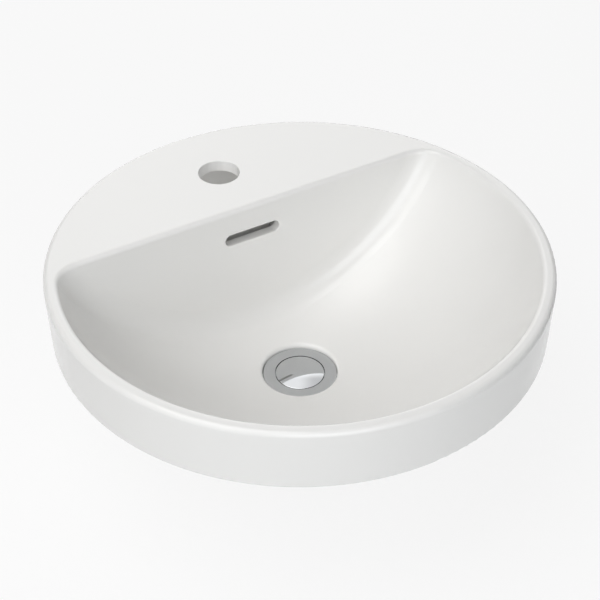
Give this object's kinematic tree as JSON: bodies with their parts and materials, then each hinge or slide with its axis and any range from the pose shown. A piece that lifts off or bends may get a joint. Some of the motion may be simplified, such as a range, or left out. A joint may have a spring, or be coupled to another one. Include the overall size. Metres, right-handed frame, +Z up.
{
  "type": "inset basin",
  "caption": "Round ceramic wash basin set into a bench, with a tap ledge, straight back wall, overflow slot and a push-open waste.",
  "frame": {"origin": "centre of the round skirt, on the plane of its underside where it stands on the bench", "axes": "+Z up, +Y from the bowl towards the tap ledge at the back, +X to the right seen from the front"},
  "size_m": [0.3998, 0.3996, 0.1945],
  "materials": {
    "glaze": "gloss",
    "chrome": "polished",
    "rubber": "matte",
    "nylon": "matte",
    "brass": "machined",
    "cartridge": "satin",
    "rotor": "satin",
    "steel": "bright"
  },
  "bodies": {
    "basin": {"basin_body": "glaze", "waste_body": "chrome", "flange_seal": "rubber", "lower_seal": "rubber", "slip_washer": "nylon", "backnut": "brass", "mechanism_carrier": "brass", "sleeve_locknut": "brass", "guide_sleeve": "cartridge", "guide_bush": "cartridge", "end_cap": "cartridge", "carrier_snap_ring": "steel", "return_spring": "steel"},
    "plug": {"plug_cap": "chrome", "plug_seal": "rubber", "plug_hub": "brass", "plunger": "brass"},
    "rotor": {"index_rotor": "rotor", "thrust_washer": "steel"}
  },
  "joints": [
    {"name": "plug_slide", "type": "slide", "parent": "basin", "child": "plug", "axis": [0, 0, 1], "range_m": [0, 0.009], "deforming": ["return_spring"]},
    {"name": "rotor_turn", "type": "hinge", "parent": "plug", "child": "rotor", "pos_m": [0, 0, -0.1091], "axis": [0, 0, 1], "range_deg": [0, 45]}
  ],
  "couplings": [
    {"joint": "rotor_turn", "follows": "plug_slide", "rad_per_m": 87.266}
  ]
}
